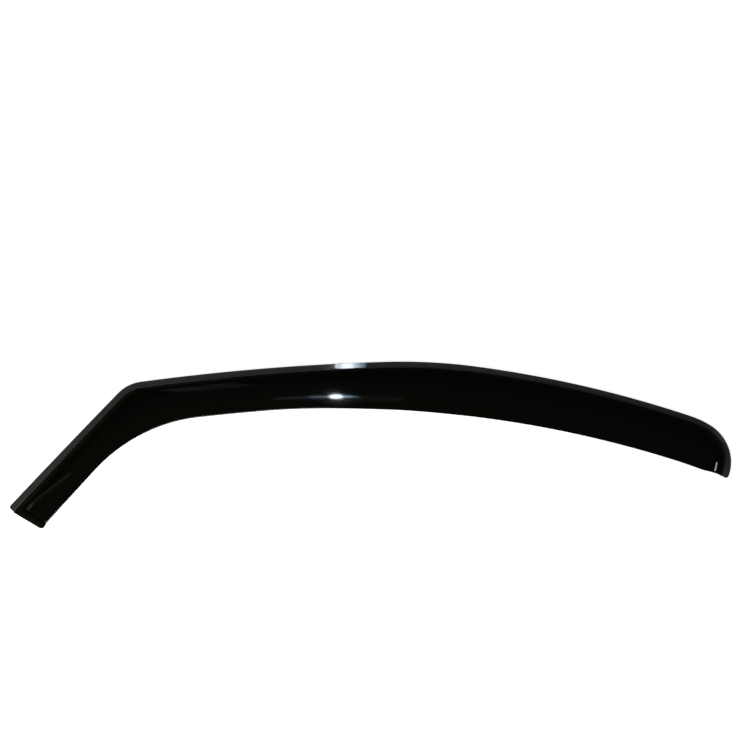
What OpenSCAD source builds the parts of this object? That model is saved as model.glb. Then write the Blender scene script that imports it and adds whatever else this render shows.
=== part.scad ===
// Window rain deflector for the front side door of a car.
// It is one sheet of smoked acrylic, softened by heat and pressed over a form: a flat flange that
// slips into the channel of the door's window frame, a wall that steps outward over the rubber lip,
// and a gently crowned body that hangs over the top of the glass and throws the rain off. The wall
// closes both ends: it turns a corner at the foot, and follows the rear corner to the tail.
// It lies with its outer face up: X runs from the foot, on the windscreen pillar, to the tail,
// Y points to the roof of the car and Z points away from the glass.

/* [Outer edge, from the foot to the tail] */
// Slope of the straight run along the windscreen pillar, in degrees to the length of the part
pillar_slope = 47.7; // [38:0.1:54]
// Length of the straight run along the windscreen pillar
pillar_len = 195.5; // [160:0.5:240]
// Radius of the kink, where the pillar meets the roof
kink_r = 47; // [38:1:75]
// Turn of the kink, in degrees
kink_turn = 40; // [32:0.1:44]
// Radius of the front run, the long and almost straight one
front_r = 3000; // [2200:10:4000]
// Turn of the front run, in degrees
front_turn = 6; // [5:0.1:7]
// Radius of the crest, where the door is highest
crest_r = 705; // [550:5:900]
// Turn of the crest, in degrees
crest_turn = 9.4; // [7:0.1:11]
// Radius of the rear run
rear_r = 1455; // [1200:10:1800]
// Turn of the rear run, in degrees
rear_turn = 11; // [9:0.1:13]
// Radius of the shoulder, which leads into the rear corner
shoulder_r = 117; // [90:1:150]
// Turn of the shoulder, in degrees
shoulder_turn = 13; // [11:0.1:16]
// Radius of the rear corner, which turns down to the free edge
corner_r = 52.5; // [46:0.5:58]
// How far short of the free edge's own line the rear corner stops
tail_trim = 3; // [1:0.25:5]

/* [Free edge, widths in plan] */
// Width of the foot at its cut end
foot_w = 52; // [44:0.5:60]
// Width where the straight run along the pillar ends
pillar_w = 49; // [42:0.5:54]
// Radius of the sweep of the free edge inside the kink
sweep_r = 200; // [150:5:260]
// Width of the neck, just past the kink
neck_w = 57; // [50:0.5:62]
// Width of the band at the crest and behind it
band_w = 67.5; // [60:0.5:74]
// Width at the end of the rear run
tail_w = 63; // [56:0.5:68]
// Distance from the kink to where the neck starts to widen
neck_len = 160; // [120:5:200]
// Distance over which the neck widens to the band
widen_len = 250; // [180:5:300]
// Slant of the cut at the foot, in degrees off square
foot_slant = 11.6; // [5:0.1:16]
// Radius of the flange's corners at the two cut ends
cut_corner_r = 3; // [1:0.25:5]
// Radius of the foot's lower corner
foot_corner_r = 5; // [2:0.25:8]

/* [Sheet and section] */
// Thickness of the acrylic sheet
sheet_t = 3; // [2:0.1:3.6]
// Width of the flat flange, up to the start of the step
flange_w = 7.5; // [6:0.25:10]
// Radius of the bend at the foot of the step, at the middle of the sheet
step_r = 3; // [2.2:0.1:4.5]
// Slope of the wall of the step, in degrees to the flange
wall_slope = 55; // [45:1:65]
// Height of the crown over the flange, from middle of sheet to middle of sheet
crown_h = 13.5; // [11:0.25:16]
// Radius of the crown across the body
crown_r = 130; // [110:5:200]
// Place of the crown's highest line, as a share of the width
crown_place = 0.77; // [0.7:0.01:0.84]
// Radius of the bend at the top of the wall, along the roof and round the rear corner
roof_bend_r = 20; // [8:0.5:22]
// Radius of the bend at the top of the wall, at the foot
foot_bend_r = 3.5; // [2.6:0.1:6]
// Length over which the bend softens from the foot up the pillar
soften_len = 95; // [70:5:150]
// Height of the end wall's cut edge over the flange, from middle of sheet to middle of sheet
foot_rise = 0.5; // [0.3:0.05:1]
// How much height is rounded off where the end wall meets the rest of the sheet
foot_soft = 4; // [2:0.25:6]
// Radius of the polished rounding on the free edge
free_edge_r = 0.8; // [0.3:0.05:0.9]
// Chamfer on the edge of the flange
flange_chamfer = 0.5; // [0.2:0.05:0.8]

/* [Curve of the door glass] */
// Radius of the glass along the car
glass_r_long = 15000; // [8000:500:30000]
// Radius of the glass from the sill to the roof
glass_r_high = 1800; // [1200:50:3000]

/* [Smoothness] */
// Longest step between two lines across the sheet
line_step = 16; // [12:1:30]
// Largest turn between two lines across the sheet, in degrees
turn_step = 5; // [4:0.5:9]

/* [Hidden] */

// How far before the shoulder the lines across the sheet start to fan round the rear corner
fan_lead = 80;
// Length of the last line across, which lies along the free edge at the tail
tail_line = 34;
// Facets across each bend, across the crown, round the edges and up the end wall
step_facets = 3;
bend_facets = 5;
crown_facets = 8;
edge_facets = 3;
end_facets = 9;

// Directions and lengths in plan
function along(a) = [cos(a), sin(a)];
function right_of(a) = [sin(a), -cos(a)];
function bearing(v) = atan2(v.y, v.x);
function unit(v) = v / norm(v);
function arc_turn(d, r) = d / r * 180 / PI;
function ease(t) = let (u = min(1, max(0, t))) u * u * (3 - 2 * u);
function mix(a, b, t) = a + (b - a) * t;

// The outer edge is a chain of stretches, each one [start, length, radius, heading, first point].
// A radius of 0 is a straight one, and every arc turns to the right.
function heading_on(q, d) = q[2] == 0 ? q[3] : q[3] - arc_turn(d, q[2]);
function centre_of(q) = q[4] + q[2] * right_of(q[3]);
function point_on(q, d) =
    q[2] == 0 ? q[4] + d * along(q[3]) : centre_of(q) - q[2] * right_of(heading_on(q, d));
function lay(runs, k = 0, s = 0, h = pillar_slope, p = [0, 0]) =
    k == len(runs) ? [] :
    let (r = runs[k][0], l = r == 0 ? runs[k][1] : r * runs[k][1] * PI / 180, q = [s, l, r, h, p])
    concat([q], lay(runs, k + 1, s + l, heading_on(q, l), point_on(q, l)));

runs = [
    [0, pillar_len], [kink_r, kink_turn], [front_r, front_turn], [crest_r, crest_turn],
    [rear_r, rear_turn], [shoulder_r, shoulder_turn]];
long_chain = lay(runs);
front_c = centre_of(long_chain[2]);
rear_c = centre_of(long_chain[4]);

// The rear corner turns until it almost meets the free edge, which runs beside the rear run
shoulder = long_chain[5];
corner_start = heading_on(shoulder, shoulder[1]);
corner_c = point_on(shoulder, shoulder[1]) + corner_r * right_of(corner_start);
corner_reach = norm(corner_c - rear_c);
corner_stop = bearing(corner_c - rear_c)
    - acos((pow(rear_r - tail_w + tail_trim, 2) - pow(corner_reach, 2) - pow(corner_r, 2))
        / (2 * corner_reach * corner_r));
chain = lay(concat(runs, [[corner_r, corner_start + 90 - corner_stop]]));

front_s = chain[2][0];
shoulder_s = chain[5][0];
tail_s = chain[6][0] + chain[6][1];
fan_s = shoulder_s - fan_lead;

function stretch_at(s, k = 0) =
    k == len(chain) - 1 || s < chain[k + 1][0] ? chain[k] : stretch_at(s, k + 1);
function outer(s) = let (q = stretch_at(s)) point_on(q, s - q[0]);
function heading(s) = let (q = stretch_at(s)) heading_on(q, s - q[0]);
function inward(s) = right_of(heading(s));

// The free edge inside the pillar is a straight line, and the sweep is an arc that is tangent to
// it and to the neck's own arc
foot_in = foot_w * right_of(pillar_slope);
knee_in = pillar_len * along(pillar_slope) + pillar_w * right_of(pillar_slope);
line_dir = unit(knee_in - foot_in);
line_nrm = [line_dir.y, -line_dir.x];
sweep_from_line = foot_in + sweep_r * line_nrm;
sweep_lever = (sweep_from_line - front_c) * line_dir;
sweep_slide = -sweep_lever + sqrt(pow(sweep_lever, 2) + pow(front_r - neck_w - sweep_r, 2)
    - pow(norm(sweep_from_line - front_c), 2));
sweep_c = sweep_from_line + sweep_slide * line_dir;
sweep_start = bearing(-line_nrm);
sweep_end = bearing(sweep_c - front_c);

function run_width(s) =
    s < front_s + neck_len + widen_len
    ? mix(neck_w, band_w, ease((s - front_s - neck_len) / widen_len))
    : mix(band_w, tail_w, min(1, (s - front_s - neck_len - widen_len)
        / (shoulder_s - front_s - neck_len - widen_len)));

// Each line across the front part meets the free edge squarely
function free_front(s) =
    let (o = outer(s), v = o - sweep_c, b = bearing(v))
    b > sweep_start ? o - ((o - foot_in) * line_nrm) * line_nrm :
    b > sweep_end ? sweep_c + sweep_r * unit(v) :
    o + run_width(s) * inward(s);

// Round the rear corner the lines fan out, and their inner ends slow down along the free edge
fan_bearing = heading(fan_s) + 90;
tip_bearing = bearing(outer(tail_s) - rear_c);
fan_travel = (fan_bearing - tip_bearing) * PI / 180 * rear_r
    - tail_line * rear_r / (rear_r - tail_w);
fan_brake = 1 - fan_travel / (tail_s - fan_s);
function fan_place(s) =
    let (d = s - fan_s, whole = tail_s - fan_s) fan_s + d - fan_brake * d * d / whole;
function free_rear(s) =
    let (place = fan_place(s))
    rear_c + (rear_r - run_width(place)) * along(fan_bearing - arc_turn(place - fan_s, rear_r));
function free(s) = s > fan_s ? free_rear(s) : free_front(s);
function line_width(s) = s > fan_s ? run_width(fan_place(s)) : norm(free_front(s) - outer(s));

// The foot is cut on the slant, and the lines across turn square again up the pillar. Each line
// runs square over the flange and then straight to its far end on the free edge.
function slant_at(s) = tan(foot_slant) * max(0, 1 - 2 * s / pillar_len);
function far_end(s) = free(s + slant_at(s) * (foot_w - flange_w));
function skew(s) =
    let (v = far_end(s) - outer(s)) (v * along(heading(s))) / (v * inward(s) - flange_w);
function spot(s, a) =
    outer(s) + a * inward(s) + skew(s) * max(0, a - flange_w) * along(heading(s));

// The crown is a shallow curve across the body. Round the rear corner it keeps to the line of the rear
// run, so the wall grows and shrinks to meet it.
function depth(p) = rear_r - norm(p - rear_c);
function crown_z(v, w) = crown_h - pow(v - crown_place * w, 2) / (2 * crown_r);
function crown_over(s, a) =
    crown_z(s > fan_s ? depth(spot(s, a)) : a, line_width(s));
function crown_slope(s, a) =
    let (h = 0.01) atan((crown_over(s, a + h) - crown_over(s, a - h)) / (2 * h));

// Radius of the bend at the top of the wall: tight at the foot, and soft from the pillar on
function bend_r(s) = mix(foot_bend_r, roof_bend_r, ease(s / soften_len));

// The top bend is rolled along the crown until it touches the wall
wall_dir = along(wall_slope);
wall_nrm = right_of(wall_slope);
wall_base = [flange_w, 0] + step_r * [sin(wall_slope), 1 - cos(wall_slope)];
function bend_centre(s, a) =
    let (slope = crown_slope(s, a), r = bend_r(s)) [a, crown_over(s, a)] + r * right_of(slope);
function bend_gap(s, a) = (bend_centre(s, a) - wall_base) * wall_nrm - bend_r(s);
function touch(s, low, high, n = 24) =
    n == 0 ? (low + high) / 2 :
    let (m = (low + high) / 2)
    bend_gap(s, m) > 0 ? touch(s, low, m, n - 1) : touch(s, m, high, n - 1);

// The foot is closed: the wall turns the corner and runs on along the cut. That end wall is a plane
// with the same lean. The lower of the two heights counts, rounded off where they meet.
end_wall_point = flange_w * right_of(pillar_slope);
end_wall_dir = along(pillar_slope + foot_slant);
function soft_min(a, b, k) =
    abs(a - b) >= k ? min(a, b) : (a + b + sqrt(2 * k * k - pow(a - b, 2))) / 2 - k;
function closed(p, z) =
    let (end_wall = foot_rise + tan(wall_slope) * ((p - end_wall_point) * end_wall_dir))
    soft_min(z, end_wall, foot_soft * ease(z / foot_soft));

// The middle of the sheet along one line across, from the flange to the free edge. The cut ends
// have round corners, so the line starts late and ends early there.
function corner_inset(d, r) = d >= r ? 0 : r - sqrt(pow(r, 2) - pow(r - d, 2));
function wall_points(s, join) =
    let (slope = crown_slope(s, join), c = bend_centre(s, join), r = bend_r(s))
    concat(
        [[corner_inset(min(s, tail_s - s), cut_corner_r) + flange_chamfer, 0]],
        [for (k = [0:step_facets]) let (a = wall_slope * k / step_facets)
            [flange_w + step_r * sin(a), step_r * (1 - cos(a))]],
        [for (k = [0:bend_facets]) let (a = mix(wall_slope, slope, k / bend_facets))
            c - r * right_of(a)]);
function middle_line(s) =
    let (
        join = touch(s, wall_base.x, 3 * wall_base.x + roof_bend_r),
        j = spot(s, join),
        f = far_end(s),
        w = line_width(s),
        body = norm(f - j),
        last = body - free_edge_r - corner_inset(s, foot_corner_r)
    )
    concat(
        [for (p = wall_points(s, join)) let (q = spot(s, p[0])) [q.x, q.y, closed(q, p[1])]],
        [for (k = [1:crown_facets])
            let (
                d = last * k / crown_facets,
                q = j + d * unit(f - j),
                v = s > fan_s ? depth(q) : mix(join, w, d / body)
            )
            [q.x, q.y, closed(q, crown_z(v, w))]]);

// Lines across, closer together where the outer edge turns, round the cut corners and up the end
// wall
function shares(q) =
    let (n = ceil(max(q[1] / line_step, q[2] == 0 ? 1 : arc_turn(q[1], q[2]) / turn_step)))
    [for (k = [0:n - 1]) q[0] + q[1] * k / n];
corner_steps = [for (a = [0, 25, 55, 90]) cut_corner_r * (1 - cos(a))];
end_reach = (crown_h + foot_soft) / tan(wall_slope) + 1;
places = concat(
    corner_steps,
    [for (k = [1:end_facets]) mix(cut_corner_r, end_reach, k / end_facets)],
    [for (q = chain) for (s = shares(q))
        if (s > end_reach + sheet_t && s < tail_s - 1.5 * cut_corner_r) s],
    [for (k = [3:-1:0]) tail_s - corner_steps[k]]);
middle = [for (s = places) middle_line(s)];
lines = len(places);
rows = len(middle[0]);

// The glass bulges outward. It is taken off a plane through the three places that the part rests
// on: the tip of the foot, the kink and the start of the rear corner.
function bulge(p) = -p.x * p.x / (2 * glass_r_long) - p.y * p.y / (2 * glass_r_high);
rest_a = outer(0);
rest_b = outer((chain[1][0] + front_s) / 2);
rest_c = outer(chain[6][0]);
glass_mid = (rest_a + outer(tail_s)) / 2;
function cross_z(u, v) = u.x * v.y - u.y * v.x;
function plane_at(p) =
    let (
        whole = cross_z(rest_b - rest_a, rest_c - rest_a),
        tb = cross_z(p - rest_a, rest_c - rest_a) / whole,
        tc = cross_z(rest_b - rest_a, p - rest_a) / whole
    )
    bulge(rest_a - glass_mid) * (1 - tb - tc) + bulge(rest_b - glass_mid) * tb
        + bulge(rest_c - glass_mid) * tc;
function curved(p) = let (q = [p.x, p.y]) [p.x, p.y, p.z + bulge(q - glass_mid) - plane_at(q)];
sheet = [for (line = middle) [for (p = line) curved(p)]];

// Square to the sheet at one place of the grid
function normal_at(i, j) =
    unit(cross(
        sheet[min(i + 1, lines - 1)][j] - sheet[max(i - 1, 0)][j],
        sheet[i][max(j - 1, 0)] - sheet[i][min(j + 1, rows - 1)]));

// One closed ring round the sheet: outer face, rounded free edge, inner face, chamfered flange
ring_len = 2 * rows + 2 * edge_facets + 2;
function ring(i) =
    let (
        n = [for (j = [0:rows - 1]) normal_at(i, j)],
        m = sheet[i],
        half = sheet_t / 2,
        e = rows - 1,
        out_free = unit(m[e] - m[e - 1]),
        out_flange = unit(m[0] - m[1]),
        r = free_edge_r
    )
    concat(
        [for (j = [0:e]) m[j] + half * n[j]],
        [for (k = [1:edge_facets]) let (a = 90 - 90 * k / edge_facets)
            m[e] + r * cos(a) * out_free + (half - r + r * sin(a)) * n[e]],
        [for (k = [0:edge_facets - 1]) let (a = 90 * k / edge_facets)
            m[e] + r * cos(a) * out_free - (half - r + r * sin(a)) * n[e]],
        [for (j = [e:-1:0]) m[j] - half * n[j]],
        [m[0] + flange_chamfer * out_flange - (half - flange_chamfer) * n[0],
         m[0] + flange_chamfer * out_flange + (half - flange_chamfer) * n[0]]);
skin = [for (i = [0:lines - 1]) each ring(i)];

// Faces: quads between neighbouring rings, cut in two, and a strip of quads on each cut end
function id(i, k) = i * ring_len + k % ring_len;
function inner_of(j) = 2 * rows - 1 - j + 2 * edge_facets;
side_faces = [for (i = [0:lines - 2]) for (k = [0:ring_len - 1])
    each [[id(i, k), id(i + 1, k + 1), id(i, k + 1)], [id(i, k), id(i + 1, k), id(i + 1, k + 1)]]];
end_strip = concat(
    [for (j = [0:rows - 2])
        each [[j, j + 1, inner_of(j + 1)], [j, inner_of(j + 1), inner_of(j)]]],
    [for (k = [rows:inner_of(rows - 1) - 1]) [rows - 1, k, k + 1]],
    [for (k = [ring_len - 3, ring_len - 2]) [0, k, k + 1]]);
foot_faces = [for (f = end_strip) [for (k = f) id(0, k)]];
tail_faces = [for (f = end_strip) [for (k = [2:-1:0]) id(lines - 1, f[k])]];

// The part stands on its lowest point, with the middle of its box over the origin
function lowest(axis) = min([for (p = skin) p[axis]]);
function highest(axis) = max([for (p = skin) p[axis]]);
box_mid = [(lowest(0) + highest(0)) / 2, (lowest(1) + highest(1)) / 2, lowest(2)];

module deflector() {
    color("#15161a")
        translate(-box_mid)
            polyhedron(points = skin, faces = concat(side_faces, foot_faces, tail_faces));
}

deflector();
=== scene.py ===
# %% [markdown]
# # A window rain deflector of smoked acrylic
#
# This lesson dresses one part: the dark visor that sits over the top of a car's front side
# window and throws the rain off. The real one is a single sheet of smoked acrylic, softened by
# heat and pressed over a form. There is nothing to hide behind, no screws and no stitches, so
# the whole look rests on two things: how exactly the sheet is folded, and how it mirrors the
# room around it.

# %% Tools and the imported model
import math

import bpy
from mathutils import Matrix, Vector


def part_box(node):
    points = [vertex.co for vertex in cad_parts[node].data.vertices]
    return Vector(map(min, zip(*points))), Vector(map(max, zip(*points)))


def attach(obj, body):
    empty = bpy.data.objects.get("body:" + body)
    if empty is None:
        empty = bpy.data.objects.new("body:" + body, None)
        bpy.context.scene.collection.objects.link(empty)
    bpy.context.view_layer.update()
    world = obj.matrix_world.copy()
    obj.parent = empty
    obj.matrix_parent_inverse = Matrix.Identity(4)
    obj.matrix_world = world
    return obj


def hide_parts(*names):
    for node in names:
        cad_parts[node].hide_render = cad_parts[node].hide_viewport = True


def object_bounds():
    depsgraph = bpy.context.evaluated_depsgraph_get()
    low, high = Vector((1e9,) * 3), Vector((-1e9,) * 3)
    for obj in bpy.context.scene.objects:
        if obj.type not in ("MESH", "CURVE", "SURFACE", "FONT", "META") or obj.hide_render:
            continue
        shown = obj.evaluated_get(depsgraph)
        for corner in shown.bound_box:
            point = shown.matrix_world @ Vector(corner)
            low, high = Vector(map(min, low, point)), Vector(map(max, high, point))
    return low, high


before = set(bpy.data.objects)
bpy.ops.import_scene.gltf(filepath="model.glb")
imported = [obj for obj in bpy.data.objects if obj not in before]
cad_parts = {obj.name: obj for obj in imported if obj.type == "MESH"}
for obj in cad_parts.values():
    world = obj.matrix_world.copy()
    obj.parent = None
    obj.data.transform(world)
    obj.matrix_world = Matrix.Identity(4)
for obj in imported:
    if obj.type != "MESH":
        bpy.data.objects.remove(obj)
cad_low, cad_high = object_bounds()
sheet_low, sheet_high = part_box("deflector")
print("CAD box in mm:", [round(1000 * v, 1) for v in (*cad_low, *cad_high)])

MM = 0.001


# %% [markdown]
# ## Helpers for materials
#
# Colours are given as sRGB hex values, and a renderer counts light in linear values.
# One function turns the first into the second. One more adds a node, sets its inputs and plugs
# in its links, so that each material below reads as a short recipe.

# %% Colour and node helpers
def linear(hex_colour):
    shades = [int(hex_colour[k:k + 2], 16) / 255 for k in (1, 3, 5)]
    return tuple(c / 12.92 if c <= 0.04045 else ((c + 0.055) / 1.055) ** 2.4 for c in shades) + (1.0,)


def add_node(tree, kind, settings=None, **inputs):
    """Adds one node. Each input is a value or a socket. Its name has _ for a space, or i6 for input 6."""
    node = tree.nodes.new(kind)
    for name, value in (settings or {}).items():
        setattr(node, name, value)
    for name, value in inputs.items():
        key = int(name[1:]) if name[1:].isdigit() and name[0] == "i" else name.replace("_", " ")
        if isinstance(value, bpy.types.NodeSocket):
            tree.links.new(value, node.inputs[key])
        else:
            node.inputs[key].default_value = value
    return node


def new_material(name):
    material = bpy.data.materials.new(name)
    material.use_nodes = True
    material.node_tree.nodes.clear()
    return material, material.node_tree


# %% [markdown]
# ## The outer edge
#
# Seen from above, the outer edge follows the door's window frame: a straight run up the
# windscreen pillar, a kink, a long and almost straight run along the roof, the crest, the rear
# run, the shoulder and the rear corner. It could be drawn as one free curve through points, but
# a form for a heat-bent sheet is drawn with a ruler and a compass. So it is a chain of stretches
# that touch tangentially, and each one needs only its length or its radius and turn. Here and
# in the cells below, lengths are in millimetres, and angles and headings in degrees.

# %% Lengths, radii and turns of the stretches
pillar_slope, pillar_len = 47.7, 195.5
kink_r, kink_turn = 47, 40
front_r, front_turn = 3000, 6
crest_r, crest_turn = 705, 9.4
rear_r, rear_turn = 1455, 11
shoulder_r, shoulder_turn = 117, 13
corner_r = 52.5

tail_w, tail_trim = 63, 3


# %% Directions in plan
def along(angle):
    return Vector((math.cos(math.radians(angle)), math.sin(math.radians(angle))))


def right_of(angle):
    return Vector((math.sin(math.radians(angle)), -math.cos(math.radians(angle))))


def bearing(v):
    return math.degrees(math.atan2(v.y, v.x))


def arc_turn(distance, radius):
    return math.degrees(distance / radius)


def ease(t):
    u = min(1.0, max(0.0, t))
    return u * u * (3 - 2 * u)


def mix(a, b, t):
    return a + (b - a) * t


# %% The chain of stretches
class Stretch:
    """One stretch of the outer edge. A radius of 0 is a straight one; arcs turn to the right."""

    def __init__(self, start, length, radius, heading, point):
        self.start, self.length, self.radius = start, length, radius
        self.first_heading, self.first_point = heading, point

    def heading(self, d):
        return self.first_heading - (arc_turn(d, self.radius) if self.radius else 0)

    def centre(self):
        return self.first_point + self.radius * right_of(self.first_heading)

    def point(self, d):
        if not self.radius:
            return self.first_point + d * along(self.first_heading)
        return self.centre() - self.radius * right_of(self.heading(d))


def lay(runs):
    laid, start, heading, point = [], 0.0, pillar_slope, Vector((0, 0))
    for radius, amount in runs:
        length = math.radians(amount) * radius if radius else amount
        laid.append(Stretch(start, length, radius, heading, point))
        start += length
        heading, point = laid[-1].heading(length), laid[-1].point(length)
    return laid


runs = [(0, pillar_len), (kink_r, kink_turn), (front_r, front_turn), (crest_r, crest_turn),
        (rear_r, rear_turn), (shoulder_r, shoulder_turn)]
laid = lay(runs)
front_c, rear_c, shoulder = laid[2].centre(), laid[4].centre(), laid[5]

# The rear corner turns until it almost meets the free edge
corner_start = shoulder.heading(shoulder.length)
corner_c = shoulder.point(shoulder.length) + corner_r * right_of(corner_start)
corner_reach = (corner_c - rear_c).length
corner_stop = bearing(corner_c - rear_c) - math.degrees(math.acos(
    ((rear_r - tail_w + tail_trim) ** 2 - corner_reach ** 2 - corner_r ** 2)
    / (2 * corner_reach * corner_r)))
chain = lay(runs + [(corner_r, corner_start + 90 - corner_stop)])

front_s, shoulder_s, corner_s = chain[2].start, chain[5].start, chain[6].start
tail_s = corner_s + chain[6].length
print(f"Outer edge: {tail_s:.1f} mm in {len(chain)} stretches")


def stretch_at(s):
    return max((q for q in chain if q.start <= max(s, 0)), key=lambda q: q.start)


def outer(s):
    q = stretch_at(s)
    return q.point(s - q.start)


def heading(s):
    q = stretch_at(s)
    return q.heading(s - q.start)


def inward(s):
    return right_of(heading(s))


# %% [markdown]
# ## The free edge
#
# The free edge hangs over the glass. Inside the pillar it is a straight line, inside the kink a
# wide sweep, and from there it keeps a set distance from the outer edge. Lines are laid across
# the sheet from the outer edge to the free one. Over the front they meet the free edge squarely.
# Round the rear corner they fan out, as the ribs of a hand fan do, because there the outer edge
# turns a full corner while the free edge runs straight on.

# %% Widths and the sweep
foot_w, pillar_w, sweep_r = 52, 49, 200
neck_w, band_w = 57, 67.5
neck_len, widen_len = 160, 250

foot_in = foot_w * right_of(pillar_slope)
knee_in = pillar_len * along(pillar_slope) + pillar_w * right_of(pillar_slope)
line_dir = (knee_in - foot_in).normalized()
line_nrm = Vector((line_dir.y, -line_dir.x))
sweep_from_line = foot_in + sweep_r * line_nrm
sweep_lever = (sweep_from_line - front_c).dot(line_dir)
sweep_slide = -sweep_lever + math.sqrt(
    sweep_lever ** 2 + (front_r - neck_w - sweep_r) ** 2 - (sweep_from_line - front_c).length_squared)
sweep_c = sweep_from_line + sweep_slide * line_dir
sweep_start, sweep_end = bearing(-line_nrm), bearing(sweep_c - front_c)


def run_width(s):
    widened = front_s + neck_len + widen_len
    if s < widened:
        return mix(neck_w, band_w, ease((s - front_s - neck_len) / widen_len))
    return mix(band_w, tail_w, min(1.0, (s - widened) / (shoulder_s - widened)))


def free_front(s):
    o = outer(s)
    from_centre = o - sweep_c
    if bearing(from_centre) > sweep_start:
        return o - (o - foot_in).dot(line_nrm) * line_nrm
    if bearing(from_centre) > sweep_end:
        return sweep_c + sweep_r * from_centre.normalized()
    return o + run_width(s) * inward(s)


# %% The fan round the rear corner
fan_lead, tail_line = 80, 34
fan_s = shoulder_s - fan_lead
fan_bearing = heading(fan_s) + 90
tip_bearing = bearing(outer(tail_s) - rear_c)
fan_travel = math.radians(fan_bearing - tip_bearing) * rear_r - tail_line * rear_r / (rear_r - tail_w)
fan_brake = 1 - fan_travel / (tail_s - fan_s)


def fan_place(s):
    d = s - fan_s
    return fan_s + d - fan_brake * d * d / (tail_s - fan_s)


def free(s):
    if s <= fan_s:
        return free_front(s)
    place = fan_place(s)
    return rear_c + (rear_r - run_width(place)) * along(fan_bearing - arc_turn(place - fan_s, rear_r))


def line_width(s):
    return run_width(fan_place(s)) if s > fan_s else (free_front(s) - outer(s)).length


# %% [markdown]
# ## The section across the sheet
#
# From the outer edge inward, the sheet is a flat flange, a small bend, a wall that leans at 55
# degrees, a softer bend and a shallow crown. The second bend is the one that the eye reads: it
# is crisp at the foot and grows soft along the pillar. Its arc is rolled along the crown until it
# just touches the wall, which a machinist would do with a ball in a corner.

# %% Crown and bends
sheet_t, flange_w = 3, 7.5
step_r, wall_slope = 3, 55
crown_h, crown_r, crown_place = 13.5, 130, 0.77
roof_bend_r, foot_bend_r, soften_len = 20, 3.5, 95
foot_slant = 11.6

wall_base = Vector((flange_w, 0)) + step_r * Vector(
    (math.sin(math.radians(wall_slope)), 1 - math.cos(math.radians(wall_slope))))


def far_end(s):
    """Where the line across ends. At the foot it is moved along, because the cut is slanted."""
    slant = math.tan(math.radians(foot_slant)) * max(0.0, 1 - 2 * s / pillar_len)
    return free(s + slant * (foot_w - flange_w))


def skew(s):
    v = far_end(s) - outer(s)
    return v.dot(along(heading(s))) / (v.dot(inward(s)) - flange_w)


def spot(s, a, lean):
    """A place on the line across: square over the flange, then straight to the far end."""
    return outer(s) + a * inward(s) + lean * max(0.0, a - flange_w) * along(heading(s))


def depth(p):
    return rear_r - (p - rear_c).length


def crown_z(v, w):
    return crown_h - (v - crown_place * w) ** 2 / (2 * crown_r)


def crown_over(s, a, w):
    return crown_z(depth(spot(s, a, skew(s))) if s > fan_s else a, w)


def bend_r(s):
    return mix(foot_bend_r, roof_bend_r, ease(s / soften_len))


def top_bend(s, a, w, r):
    """Centre of the top bend where it touches the crown at a, and the crown's slope there."""
    h = 0.01
    slope = math.degrees(math.atan((crown_over(s, a + h, w) - crown_over(s, a - h, w)) / (2 * h)))
    return Vector((a, crown_over(s, a, w))) + r * right_of(slope), slope


def join_of(s, w, r):
    """Where the top bend runs into the crown, found by halving until the arc touches the wall."""
    low, high = wall_base.x, 3 * wall_base.x + roof_bend_r
    for _ in range(24):
        middle = (low + high) / 2
        gap = (top_bend(s, middle, w, r)[0] - wall_base).dot(right_of(wall_slope)) - r
        low, high = (low, middle) if gap > 0 else (middle, high)
    return (low + high) / 2


# %% [markdown]
# ## The closed foot
#
# At the foot the wall turns a small corner and runs on along the cut, so that no rain blows in
# from the front. That end wall is a plane which leans as the side wall does. Where it meets the
# rest of the sheet, the lower of the two heights counts, and a soft minimum rounds the meeting.

# %% End wall of the foot
foot_rise, foot_soft = 0.5, 4
cut_nrm = along(pillar_slope + foot_slant)
cut_point = flange_w * right_of(pillar_slope)


def soft_min(a, b, k):
    if abs(a - b) >= k:
        return min(a, b)
    return (a + b + math.sqrt(2 * k * k - (a - b) ** 2)) / 2 - k


def closed(q, z):
    end_wall = foot_rise + math.tan(math.radians(wall_slope)) * (q - cut_point).dot(cut_nrm)
    return soft_min(z, end_wall, foot_soft * ease(z / foot_soft))


# %% [markdown]
# ## The curve of the glass
#
# The door glass is barrel shaped, and the deflector is formed to it. So the whole sheet is laid
# over a wide dome: 15 m along the car and 1.8 m from sill to roof. The dome is measured from
# the plane through the three places on which the loose part rests.

# %% The dome
glass_r_long, glass_r_high = 15000, 1800
rest_a, rest_b, rest_c = outer(0), outer((chain[1].start + front_s) / 2), outer(corner_s)
glass_mid = (rest_a + outer(tail_s)) / 2


def bulge(p):
    q = p - glass_mid
    return -q.x ** 2 / (2 * glass_r_long) - q.y ** 2 / (2 * glass_r_high)


def rise(p):
    whole = (rest_b - rest_a).cross(rest_c - rest_a)
    share_b = (p - rest_a).cross(rest_c - rest_a) / whole
    share_c = (rest_b - rest_a).cross(p - rest_a) / whole
    plane = bulge(rest_a) * (1 - share_b - share_c) + bulge(rest_b) * share_b + bulge(rest_c) * share_c
    return bulge(p) - plane


# %% [markdown]
# ## From lines to a sheet
#
# Each line across is sampled finely, because a mirror shows every facet that a matt part would
# hide. The points lie on the middle of the sheet. Each also remembers how far it is from the
# outer edge: the finish needs to know that later, as the flange is rubbed and the body is
# polished. The lines stand closer where the edge turns, and closest at the foot, where the end
# wall rises within a few millimetres.

# %% Points on one line across
free_edge_r, flange_chamfer = 0.8, 0.5
cut_corner_r, foot_corner_r = 3, 5
flange_facets, step_facets, bend_facets, crown_facets, edge_facets = 3, 8, 14, 26, 5
line_step, turn_step = 3.4, 1.2


def corner_inset(d, r):
    return 0 if d >= r else r - math.sqrt(r ** 2 - (r - d) ** 2)


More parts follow.
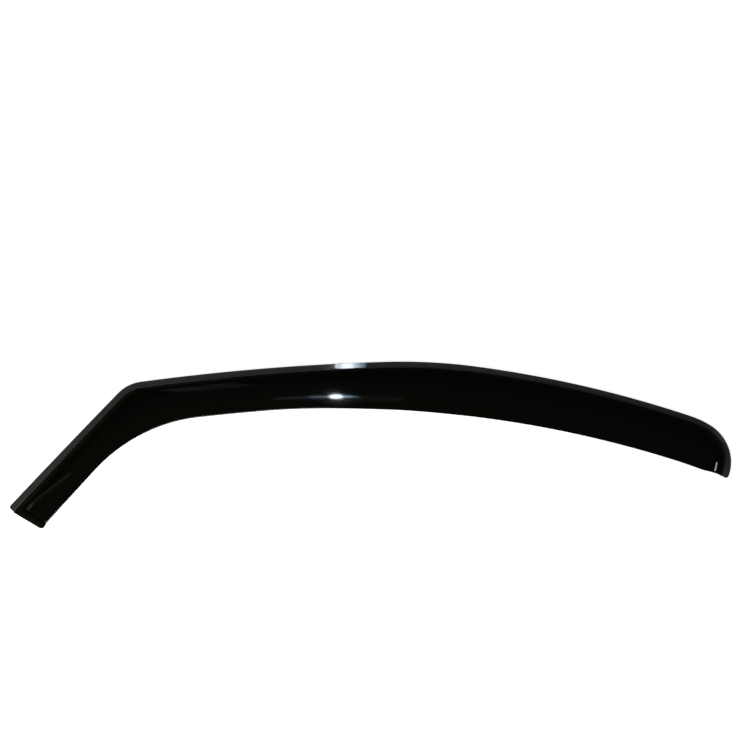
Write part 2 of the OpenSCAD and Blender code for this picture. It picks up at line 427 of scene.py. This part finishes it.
def middle_line(s):
    w, r, lean = line_width(s), bend_r(s), skew(s)
    join = join_of(s, w, r)
    centre, slope = top_bend(s, join, w, r)
    start = corner_inset(min(s, tail_s - s), cut_corner_r) + flange_chamfer
    folds = [Vector((mix(start, flange_w, k / flange_facets), 0)) for k in range(flange_facets)]
    for k in range(step_facets + 1):
        a = math.radians(wall_slope * k / step_facets)
        folds.append(Vector((flange_w + step_r * math.sin(a), step_r * (1 - math.cos(a)))))
    for k in range(bend_facets + 1):
        folds.append(centre - r * right_of(mix(wall_slope, slope, k / bend_facets)))
    points = []
    for p in folds:
        q = spot(s, p.x, lean)
        points.append((q, closed(q, p.y), p.x))
    joined = points[-1][0]
    end = far_end(s)
    body = (end - joined).length
    last = body - free_edge_r - corner_inset(s, foot_corner_r)
    for k in range(1, crown_facets + 1):
        d = last * k / crown_facets
        q = joined + d * (end - joined).normalized()
        v = depth(q) if s > fan_s else mix(join, w, d / body)
        points.append((q, closed(q, crown_z(v, w)), join + d))
    return [(Vector((q.x, q.y, z + rise(q))), a) for q, z, a in points]


# %% Places of the lines
def shares(q):
    n = math.ceil(max(q.length / line_step, arc_turn(q.length, q.radius) / turn_step if q.radius else 1))
    return [q.start + q.length * k / n for k in range(n)]


corner_steps = [cut_corner_r * (1 - math.cos(math.radians(a))) for a in range(0, 91, 10)]
foot_reach = (crown_h + foot_soft) / math.tan(math.radians(wall_slope)) + 1
foot_lines = 18
foot_steps = [mix(cut_corner_r, foot_reach, k / foot_lines) for k in range(1, foot_lines + 1)]
places = (corner_steps + foot_steps
          + [s for q in chain for s in shares(q) if foot_reach + 0.5 < s < tail_s - 1.3 * cut_corner_r]
          + [tail_s - d for d in reversed(corner_steps)])
lines = [middle_line(s) for s in places]
sheet = [[p for p, _ in line] for line in lines]
reach = [[a for _, a in line] for line in lines]
rows = len(sheet[0])
print(f"{len(lines)} lines across, {rows} points on each")


# %% [markdown]
# ## Giving the sheet its thickness
#
# A solidify modifier would thicken the sheet in one step, but it leaves all edges square. On
# the real part the free edge is rounded and polished, and the flange has a small chamfer so
# that it slips under the rubber. So a closed ring is built round the sheet at each line: outer
# face, rounded free edge, inner face and chamfer.

# %% Rings round the sheet
half = sheet_t / 2
quarter_turn = math.radians(90)


def square_to(i, j):
    across = sheet[i][max(j - 1, 0)] - sheet[i][min(j + 1, rows - 1)]
    lengthways = sheet[min(i + 1, len(sheet) - 1)][j] - sheet[max(i - 1, 0)][j]
    return lengthways.cross(across).normalized()


def edge_angle(k):
    """The free edge is two quarter circles: down from the outer face, then on to the inner one."""
    if k <= edge_facets:
        return quarter_turn * (1 - k / edge_facets)
    return quarter_turn * (k - edge_facets - 1) / edge_facets


def ring(i):
    """Points round the sheet at line i, each with its distance from the outer edge."""
    normal = [square_to(i, j) for j in range(rows)]
    m, far = sheet[i], reach[i]
    off_free, off_flange = (m[-1] - m[-2]).normalized(), (m[0] - m[1]).normalized()
    skin = [(m[j] + half * normal[j], far[j]) for j in range(rows)]
    for k in range(1, 2 * edge_facets + 1):
        side, a = (1 if k <= edge_facets else -1), edge_angle(k)
        lift = half - free_edge_r + free_edge_r * math.sin(a)
        rim = m[-1] + free_edge_r * math.cos(a) * off_free + side * lift * normal[-1]
        skin.append((rim, far[-1] + 1))
    skin += [(m[j] - half * normal[j], far[j]) for j in reversed(range(rows))]
    for side in (-1, 1):
        skin.append((m[0] + flange_chamfer * off_flange + side * (half - flange_chamfer) * normal[0], 0))
    return skin


rings = [ring(i) for i in range(len(sheet))]
size = len(rings[0])
points = [p for skin in rings for p, _ in skin]
print(f"{len(rings)} rings of {size} points")

# %% [markdown]
# ## Closing the mesh
#
# Neighbouring rings are joined by quads. The two ends are not filled with one big face each,
# because a face with over a hundred corners that isn't flat shades badly. They get a strip of
# quads from the outer face to the inner one, and a small face at each edge.

# %% Faces between the rings and over the ends
faces = [(i * size + k, i * size + (k + 1) % size, (i + 1) * size + (k + 1) % size, (i + 1) * size + k)
         for i in range(len(rings) - 1) for k in range(size)]


def inner_of(j):
    """The ring's point on the inner face that lies below its point j on the outer face."""
    return 2 * rows - 1 - j + 2 * edge_facets


end_strip = [(j, j + 1, inner_of(j + 1), inner_of(j)) for j in range(rows - 1)]
end_strip.append(tuple(range(rows - 1, inner_of(rows - 1) + 1)))
end_strip.append((0, size - 3, size - 2, size - 1))
last_ring = (len(rings) - 1) * size
foot_faces = [tuple(reversed(f)) for f in end_strip]
tail_faces = [tuple(last_ring + k for k in f) for f in end_strip]
print(f"{len(faces)} quads round the sheet, {len(foot_faces)} faces on each end")

# %% [markdown]
# ## Laying it in the frame
#
# The chain of stretches starts at the foot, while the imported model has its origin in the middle
# of its box, on the ground. So the points are moved until the middles of both boxes meet and
# both undersides lie at one height. Nothing is scaled: if the two sizes differed, one of the
# drawings would be wrong.

# %% The mesh in its place
low = Vector([min(p[axis] for p in points) for axis in range(3)])
high = Vector([max(p[axis] for p in points) for axis in range(3)])
frame_mid = Vector(((sheet_low.x + sheet_high.x) / 2, (sheet_low.y + sheet_high.y) / 2, sheet_low.z))
own_mid = Vector(((low.x + high.x) / 2, (low.y + high.y) / 2, low.z))


def placed(p):
    return (p - own_mid) * MM + frame_mid


sharp_from = math.radians(32)
mesh = bpy.data.meshes.new("rain_deflector")
mesh.from_pydata([placed(p) for p in points], [], faces + foot_faces + tail_faces)
mesh.shade_smooth()
mesh.set_sharp_from_angle(angle=sharp_from)
deflector = bpy.data.objects.new("rain_deflector", mesh)
bpy.context.scene.collection.objects.link(deflector)
print("Own box in mm:", [round(v, 2) for v in (*(high - low),)], "faces:", len(mesh.polygons))

# %% [markdown]
# ## Notes that the mesh carries
#
# The finish changes from place to place, so each point carries three notes for the material:
# how far it is from the outer edge, which way is square to that edge, and how the flange leans
# there. A thin strip never stays quite flat when it is bent hot. This one is twisted a little
# over some 50 mm just before the crest, and there it catches the lamp overhead. In the mesh that
# twist would lift an edge by a third of a millimetre only, so it is kept as a lean of the
# shading normal. Two angles give it: inward, and onward along the edge.

# %% Distance, direction and lean
twist_inward, twist_onward = 2.8, -0.65
twist_start, twist_end, twist_fade = front_s + 246, front_s + 295, 8

across = mesh.attributes.new("across", "FLOAT", "POINT")
across.data.foreach_set("value", [a for skin in rings for _, a in skin])
square_off = mesh.attributes.new("square_off", "FLOAT_VECTOR", "POINT")
lean = mesh.attributes.new("lean", "FLOAT_VECTOR", "POINT")
for i, s in enumerate(places):
    twist = ease((s - twist_start) / twist_fade) * ease((twist_end - s) / twist_fade)
    lean_way = twist * (math.tan(math.radians(twist_inward)) * inward(s)
                        + math.tan(math.radians(twist_onward)) * along(heading(s)))
    for k in range(size):
        square_off.data[i * size + k].vector = (*inward(s), 0)
        lean.data[i * size + k].vector = (*lean_way, 0)
print("The flange is twisted over", twist_end - twist_start, "mm")

# %% [markdown]
# ## Smoked acrylic
#
# Acrylic is the common name of PMMA. This sheet is tinted so dark that it looks black on a
# white ground. The body was pressed hot against a polished form, so it mirrors the room, with
# the slight waves that a hot sheet keeps. The flange was rubbed with abrasive paper, and looks
# dark grey, because on a black plastic the scattered light is all that the eye gets.
#
# One material carries both finishes, and the distance from the outer edge mixes them. First
# comes the colour: grey on the flange, uneven as hand rubbing leaves it, and black on the rest.

# %% Colour from the flange to the body
fade_start, fade_end = flange_w - 0.6, flange_w + 1.4
rubbed_dark, rubbed_light, body_black = "#2b2c29", "#323330", "#030302"
rub_patch = 14 * MM
noise_low, noise_high = 0.3, 0.7

acrylic, tree = new_material("smoked_acrylic")
place = add_node(tree, "ShaderNodeTexCoord")
reach_node = add_node(tree, "ShaderNodeAttribute", {"attribute_name": "across"})
gloss = add_node(tree, "ShaderNodeMapRange", {"interpolation_type": "SMOOTHSTEP"},
                 Value=reach_node.outputs["Fac"], From_Min=fade_start, From_Max=fade_end)
rub = add_node(tree, "ShaderNodeTexNoise", {"noise_dimensions": "3D"}, Vector=place.outputs["Object"],
               Scale=1 / rub_patch, Detail=4.0, Roughness=0.6)
rub_shade = add_node(tree, "ShaderNodeMapRange", None, Value=rub.outputs["Fac"],
                     From_Min=noise_low, From_Max=noise_high, To_Min=0.0, To_Max=1.0)
matt_colour = add_node(tree, "ShaderNodeMix", {"data_type": "RGBA"}, Factor=rub_shade.outputs["Result"],
                       i6=linear(rubbed_dark), i7=linear(rubbed_light))
body_colour = add_node(tree, "ShaderNodeMix", {"data_type": "RGBA"}, Factor=gloss.outputs["Result"],
                       i6=matt_colour.outputs[2], i7=linear(body_black))
print("Colour fades over", round(fade_end - fade_start, 1), "mm")

# %% [markdown]
# ## How clear the mirror image is
#
# Fine paper scratches a sheet without reaching its whole surface. Between the scratches small
# flats stay smooth, and they still mirror a strong lamp, so the flange is grey and yet keeps a
# low roughness. Its base colour does the scattering. In the hollow beside the wall, the paper is
# bunched up and leaves no flats, and towards the tail the strip was rubbed harder. The wall and
# the crown are polished. Smooth steps in the distance from the edge lead from one to the next.

# %% Roughness from the flange to the body
rubbed_fine, rubbed_coarse = 0.048, 0.06
hollow_dull, tail_dull, polished = 0.85, 0.65, 0.055
hollow_start, hollow_end = flange_w - 0.8, flange_w + 0.4
polish_start, polish_end = flange_w + 2.1, flange_w + 2.7
tail_start, tail_end = 150 * MM, 360 * MM

matt_rough = add_node(tree, "ShaderNodeMapRange", None, Value=rub.outputs["Fac"], From_Min=noise_low,
                      From_Max=noise_high, To_Min=rubbed_fine, To_Max=rubbed_coarse)
along_car = add_node(tree, "ShaderNodeSeparateXYZ", None, Vector=place.outputs["Object"])
to_tail = add_node(tree, "ShaderNodeMapRange", {"interpolation_type": "SMOOTHSTEP"},
                   Value=along_car.outputs["X"], From_Min=tail_start, From_Max=tail_end)
flange_rough = add_node(tree, "ShaderNodeMix", {"data_type": "FLOAT"}, Factor=to_tail.outputs["Result"],
                        i2=matt_rough.outputs["Result"], i3=tail_dull)
hollow = add_node(tree, "ShaderNodeMapRange", {"interpolation_type": "SMOOTHSTEP"},
                  Value=reach_node.outputs["Fac"], From_Min=hollow_start, From_Max=hollow_end)
hollow_rough = add_node(tree, "ShaderNodeMix", {"data_type": "FLOAT"}, Factor=hollow.outputs["Result"],
                        i2=flange_rough.outputs[0], i3=hollow_dull)
polish = add_node(tree, "ShaderNodeMapRange", {"interpolation_type": "SMOOTHSTEP"},
                  Value=reach_node.outputs["Fac"], From_Min=polish_start, From_Max=polish_end)
rough = add_node(tree, "ShaderNodeMix", {"data_type": "FLOAT"}, Factor=polish.outputs["Result"],
                 i2=hollow_rough.outputs[0], i3=polished)
print("The hollow is dull for", round(polish_end - hollow_start, 1), "mm")

# %% [markdown]
# ## Twist, waves and grit
#
# Three things tilt the surface a little. The flange leans where it is twisted. The whole sheet
# has long, low waves, which bend the mirrored lamps just enough to look real. And the flange has
# grit marks. The real ones are some 0.03 mm apart, which no picture of the whole part can show,
# so they are drawn about ten times as coarse. Each step hands its normal on to the next.

# %% Normals
wave_length, wave_strength = 42 * MM, 0.15
grit_spacing, grit_strength = 0.35 * MM, 0.12
bump_depth = 0.05 * MM

upright = add_node(tree, "ShaderNodeNewGeometry")
lean_note = add_node(tree, "ShaderNodeAttribute", {"attribute_name": "lean"})
lean_share = add_node(tree, "ShaderNodeMath", {"operation": "SUBTRACT"},
                      i0=1.0, i1=hollow.outputs["Result"])
lean_here = add_node(tree, "ShaderNodeVectorMath", {"operation": "SCALE"},
                     i0=lean_note.outputs["Vector"], Scale=lean_share.outputs[0])
leaning = add_node(tree, "ShaderNodeVectorMath", {"operation": "ADD"},
                   i0=upright.outputs["Normal"], i1=lean_here.outputs["Vector"])
leant = add_node(tree, "ShaderNodeVectorMath", {"operation": "NORMALIZE"}, i0=leaning.outputs["Vector"])
waves = add_node(tree, "ShaderNodeTexNoise", {"noise_dimensions": "3D"}, Vector=place.outputs["Object"],
                 Scale=1 / wave_length, Detail=1.0, Roughness=0.4)
wave_bump = add_node(tree, "ShaderNodeBump", None, Strength=wave_strength, Distance=bump_depth,
                     Height=waves.outputs["Fac"], Normal=leant.outputs["Vector"])
grit = add_node(tree, "ShaderNodeTexNoise", {"noise_dimensions": "3D"}, Vector=place.outputs["Object"],
                Scale=1 / grit_spacing, Detail=3.0, Roughness=0.6)
grit_depth = add_node(tree, "ShaderNodeMapRange", None, Value=gloss.outputs["Result"],
                      To_Min=grit_strength, To_Max=0.0)
grit_bump = add_node(tree, "ShaderNodeBump", None, Strength=grit_depth.outputs["Result"],
                     Distance=bump_depth, Height=grit.outputs["Fac"], Normal=wave_bump.outputs["Normal"])

# %% [markdown]
# ## The shader
#
# Acrylic has an IOR of 1.49, so it mirrors about 4 % of the light that falls straight on it.
# The paper was drawn along the edge, and scratches along the edge smear each mirror image across
# it. That is what the anisotropy does: the tangent points square off the edge, and highlights
# are drawn out that way. The body shares it, because its form was polished lengthwise.

# %% Acrylic with its rubbed flange
acrylic_ior = 1.49
scratch_way = add_node(tree, "ShaderNodeAttribute", {"attribute_name": "square_off"})
surface = add_node(tree, "ShaderNodeBsdfPrincipled", None, Base_Color=body_colour.outputs[2],
                   Roughness=rough.outputs[0], IOR=acrylic_ior, Anisotropic=1.0,
                   Tangent=scratch_way.outputs["Vector"], Normal=grit_bump.outputs["Normal"])
add_node(tree, "ShaderNodeOutputMaterial", None, Surface=surface.outputs["BSDF"])
print("Smoked acrylic:", len(tree.nodes), "nodes")

# %% [markdown]
# ## Sawn ends
#
# The two short ends are cut with a fine saw after forming. A saw leaves acrylic dull, with
# fine lines, and nobody polishes an end that hides in the window channel. These faces are the
# last in the mesh, so they take the second material by their place in the list.

# %% Sawn acrylic
saw_spacing, saw_strength = 0.5 * MM, 0.3
sawn_grey, sawn_rough = "#1b1b19", 0.45

sawn, tree = new_material("sawn_acrylic")
place = add_node(tree, "ShaderNodeTexCoord")
saw_lines = add_node(tree, "ShaderNodeTexNoise", {"noise_dimensions": "3D"},
                     Vector=place.outputs["Object"], Scale=1 / saw_spacing, Detail=2.0)
saw_bump = add_node(tree, "ShaderNodeBump", None, Strength=saw_strength, Distance=bump_depth,
                    Height=saw_lines.outputs["Fac"])
surface = add_node(tree, "ShaderNodeBsdfPrincipled", None, Base_Color=linear(sawn_grey),
                   Roughness=sawn_rough, IOR=acrylic_ior, Normal=saw_bump.outputs["Normal"])
add_node(tree, "ShaderNodeOutputMaterial", None, Surface=surface.outputs["BSDF"])

# %% Materials on the mesh, and its place in the model
mesh.materials.append(acrylic)
mesh.materials.append(sawn)
for face in mesh.polygons[len(faces):]:
    face.material_index = 1
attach(deflector, "root")
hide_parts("deflector")
print("Sawn faces:", sum(face.material_index for face in mesh.polygons))

# %% [markdown]
# ## The camera
#
# The part is long and flat, so it is looked at from almost straight above, 10 degrees off. The
# camera stands 1.6 m away with a fairly long lens, which keeps the near foot and the far crest
# at nearly one scale. It aims some 90 mm beyond the part's middle, so the part lies below the
# middle of the frame.

# %% Camera
camera_elevation, camera_distance = math.radians(80), 1.6
aim = Vector((4.2, 89.3, 0.0)) * MM
camera_data = bpy.data.cameras.new("camera")
camera_data.sensor_width, camera_data.lens = 36, 60
camera = bpy.data.objects.new("camera", camera_data)
camera.location = aim + camera_distance * Vector(
    (0, -math.cos(camera_elevation), math.sin(camera_elevation)))
camera.rotation_euler = (math.radians(90) - camera_elevation, 0, 0)
bpy.context.scene.collection.objects.link(camera)
bpy.context.scene.camera = camera
print("Camera at", [round(v, 3) for v in camera.location])

# %% [markdown]
# ## The ground
#
# The part lies on white paper. Lamps alone would have to be very strong to make it white, and
# would spoil the black. So the paper gives its own white light to camera rays and transmission
# rays, and a grey diffuse layer that is added to it catches the lamps and the part's shadow.
# Rays mirrored by the part see a much darker paper, as if the white sheet ended close to it. It
# is a little lighter by the foot, whose end wall looks out over it.

# %% Ground
ground_size, ground_gap = 6.0, 0.0002
own_white, floor_grey = 0.9, "#b4b4b4"
mirrored_by_foot, mirrored_by_tail, mirrored_hue = 0.046, 0.018, "#f8ffc8"
foot_place, neck_place = -0.5, -0.2

h = ground_size / 2
ground_mesh = bpy.data.meshes.new("ground")
ground_mesh.from_pydata([(-h, -h, 0), (h, -h, 0), (h, h, 0), (-h, h, 0)], [], [(0, 1, 2, 3)])
ground = bpy.data.objects.new("ground", ground_mesh)
bpy.context.scene.collection.objects.link(ground)
ground.location.z = cad_low.z - ground_gap

# %% White paper
paper, tree = new_material("white_paper")
path = add_node(tree, "ShaderNodeLightPath")
floor_place = add_node(tree, "ShaderNodeTexCoord")
along_floor = add_node(tree, "ShaderNodeSeparateXYZ", None, Vector=floor_place.outputs["Object"])
mirrored_level = add_node(tree, "ShaderNodeMapRange", {"interpolation_type": "SMOOTHSTEP"},
                          Value=along_floor.outputs["X"], From_Min=foot_place, From_Max=neck_place,
                          To_Min=mirrored_by_foot, To_Max=mirrored_by_tail)
mirrored = add_node(tree, "ShaderNodeMath", {"operation": "MULTIPLY"},
                    i0=path.outputs["Is Glossy Ray"], i1=mirrored_level.outputs["Result"])
clear = add_node(tree, "ShaderNodeMath", {"operation": "MAXIMUM"},
                 i0=path.outputs["Is Camera Ray"], i1=path.outputs["Is Transmission Ray"])
clear_white = add_node(tree, "ShaderNodeMath", {"operation": "MULTIPLY"}, i0=clear.outputs[0], i1=own_white)
level = add_node(tree, "ShaderNodeMath", {"operation": "ADD"},
                 i0=clear_white.outputs[0], i1=mirrored.outputs[0])
ground_tint = add_node(tree, "ShaderNodeMix", {"data_type": "RGBA"}, Factor=path.outputs["Is Glossy Ray"],
                       i6=linear("#ffffff"), i7=linear(mirrored_hue))
own_light = add_node(tree, "ShaderNodeEmission", None, Color=ground_tint.outputs[2],
                     Strength=level.outputs[0])
plain = add_node(tree, "ShaderNodeBsdfDiffuse", None, Color=linear(floor_grey))
black = add_node(tree, "ShaderNodeEmission", None, Strength=0.0)
lit = add_node(tree, "ShaderNodeMixShader", None, Fac=path.outputs["Is Glossy Ray"], i1=plain.outputs[0],
               i2=black.outputs[0])
both = add_node(tree, "ShaderNodeAddShader", None, i0=own_light.outputs[0], i1=lit.outputs[0])
add_node(tree, "ShaderNodeOutputMaterial", None, Surface=both.outputs[0])
ground_mesh.materials.append(paper)
print("White paper:", len(tree.nodes), "nodes")

# %% [markdown]
# ## The room
#
# The crown mirrors what stands overhead, and the bends mirror the walls. A body that is nearly
# black needs a nearly black room, warm and a little lighter at the ceiling: a mirror that keeps
# 4 % of the light turns those levels into the faint sheen from bend to free edge. The camera
# sees a white backdrop instead, a touch darker near the floor, so that the end of the floor
# can't be told from it.

# %% World
wall_level, ceiling_level, room_hue = 0.02, 0.044, "#fbfcda"
ceiling_start, ceiling_full = 0.7, 0.97
floor_end_white, backdrop_full = 0.922, 0.25

world = bpy.data.worlds.new("room")
bpy.context.scene.world = world
world.use_nodes = True
tree = world.node_tree
tree.nodes.clear()
path = add_node(tree, "ShaderNodeLightPath")
sky = add_node(tree, "ShaderNodeTexCoord")
upward = add_node(tree, "ShaderNodeSeparateXYZ", None, Vector=sky.outputs["Generated"])
ceiling = add_node(tree, "ShaderNodeMapRange", {"interpolation_type": "SMOOTHSTEP"},
                   Value=upward.outputs["Z"], From_Min=ceiling_start, From_Max=ceiling_full,
                   To_Min=wall_level, To_Max=ceiling_level)
seen = add_node(tree, "ShaderNodeMath", {"operation": "MAXIMUM"},
                i0=path.outputs["Is Camera Ray"], i1=path.outputs["Is Transmission Ray"])
above_floor = add_node(tree, "ShaderNodeMapRange", {"interpolation_type": "SMOOTHSTEP"},
                       Value=upward.outputs["Z"], From_Min=0.0, From_Max=backdrop_full,
                       To_Min=floor_end_white, To_Max=1.0)
seen_white = add_node(tree, "ShaderNodeMath", {"operation": "MULTIPLY"},
                      i0=seen.outputs[0], i1=above_floor.outputs["Result"])
level = add_node(tree, "ShaderNodeMath", {"operation": "MAXIMUM"}, i0=seen_white.outputs[0],
                 i1=ceiling.outputs["Result"])
tint = add_node(tree, "ShaderNodeMix", {"data_type": "RGBA"}, Factor=seen.outputs[0],
                i6=linear(room_hue), i7=linear("#ffffff"))
backdrop = add_node(tree, "ShaderNodeBackground", None, Color=tint.outputs[2], Strength=level.outputs[0])
add_node(tree, "ShaderNodeOutputWorld", None, Surface=backdrop.outputs[0])
print("Room:", len(tree.nodes), "nodes")


# %% [markdown]
# ## Lamps
#
# A lamp does two things here. It lights the rubbed flange, and the polished body shows its
# mirror image, which the crown squeezes into a spot or a line. So each lamp is an area lamp with
# a plain shape, and is given the brightness of its face instead of its power: a lamp twice as
# large then looks as bright as before and gives twice the light.

# %% One area lamp
def soft_lamp(name, at, face, radiance, colour="#ffffff", shape="RECTANGLE", look_at=None, turn=0):
    """An area lamp, which looks straight down unless look_at is given. Lengths are in metres."""
    width, height = face
    area = width * height * (math.pi / 4 if shape == "ELLIPSE" else 1)
    data = bpy.data.lights.new(name, "AREA")
    data.shape = shape
    data.size, data.size_y, data.energy = width, height, radiance * area * math.pi
    data.color = linear(colour)[:3]
    lamp = bpy.data.objects.new(name, data)
    lamp.location = at
    target = Vector(look_at or (at[0], at[1], 0))
    lamp.rotation_euler = (target - Vector(at)).to_track_quat("-Z", "Y").to_euler()
    lamp.rotation_euler.rotate_axis("Z", math.radians(turn))
    bpy.context.scene.collection.objects.link(lamp)
    print(f"{name}: {data.energy:.2f} W")


# %% [markdown]
# ## The light on the flange
#
# One soft box stands low in front, nearer to the foot, so the rubbed flange is brightest there
# and falls off towards the tail. It stands where no bend of the body mirrors it to the camera.

# %% Front soft box
soft_lamp("front_softbox", at=(-0.39, -0.6, 0.75), face=(0.6, 0.4), radiance=15, look_at=(-0.3, 0, 0))

# %% [markdown]
# ## The lamp overhead
#
# The brightest mirror image is a ceiling lamp. A bare disc would give a hard-edged spot, and a
# real one has a bright core, a rim, and a halo and trails that are drawn out along the part. Six
# ellipses build it up, from the small and strong ones to the large and faint ones. The crown
# shrinks them across the part far more than along it, so a core that is 165 mm from front to
# back and 38 mm wide is mirrored as a flat oval.

# %% Core, rim, halo, glow and trails
soft_lamp("ceiling_lamp", at=(-0.105, 0.512, 1.55), face=(0.038, 0.165), radiance=32,
          colour="#f2f8ff", shape="ELLIPSE")
soft_lamp("ceiling_rim", at=(-0.096, 0.509, 1.56), face=(0.08, 0.04), radiance=15,
          colour="#cbebff", shape="ELLIPSE")
soft_lamp("ceiling_halo", at=(-0.111, 0.508, 1.565), face=(0.145, 0.034), radiance=7,
          colour="#b8e0ff", shape="ELLIPSE")
soft_lamp("ceiling_glow", at=(-0.1, 0.42, 1.57), face=(0.085, 0.46), radiance=0.12,
          colour="#e6f0ff", shape="ELLIPSE")
soft_lamp("ceiling_trail", at=(-0.16, 0.5, 1.57), face=(0.26, 0.08), radiance=0.5,
          colour="#cfeaf4", shape="ELLIPSE")
soft_lamp("ceiling_trail_2", at=(0.0, 0.45, 1.57), face=(0.17, 0.22), radiance=0.09,
          colour="#d8eef0", shape="ELLIPSE")

# %% [markdown]
# ## The lamps at the sides
#
# On the foot, the bend mirrors a thin tube to the left as a slanted line, and the brighter end
# of the tube as a short hook where the bend turns the corner. Past the kink, the same bend is
# wide and shows a pale patch: two window panes and a curtain far behind the part. They stand
# upright, so their target has their own height. A last soft box, far to the right, is mirrored
# once, as a small mark by the rear corner.

# %% Tube, window panes, curtain and right soft box
daylight = "#f2f4e6"
soft_lamp("tube", at=(-1.118, 0.259, 1.45), face=(0.34, 0.02), radiance=0.42, turn=-8.8)
soft_lamp("tube_end", at=(-1.262, 0.22, 1.45), face=(0.03, 0.08), radiance=1.7)
soft_lamp("back_window", at=(-0.87, 2.2, 1.15), face=(0.2, 1.5), radiance=0.1, colour=daylight,
          look_at=(-0.87, 0, 1.15))
soft_lamp("back_window_2", at=(-0.68, 2.2, 1.25), face=(0.1, 1.8), radiance=0.07, colour=daylight,
          look_at=(-0.68, 0, 1.25))
soft_lamp("back_curtain", at=(-0.76, 2.21, 1.6), face=(0.34, 2.6), radiance=0.06, colour=daylight,
          look_at=(-0.76, 0, 1.6))
soft_lamp("right_softbox", at=(2.0, -0.27, 1.05), face=(0.55, 0.3), radiance=9.5, look_at=(0.4, 0, 0))

# %% [markdown]
# ## Closing notes
#
# The dressed part must be as large as the imported one; both boxes are printed further up.
# The Standard view shows each colour as it was written, with no film curve over it.

# %% The view and the end
bpy.context.scene.view_settings.view_transform = "Standard"
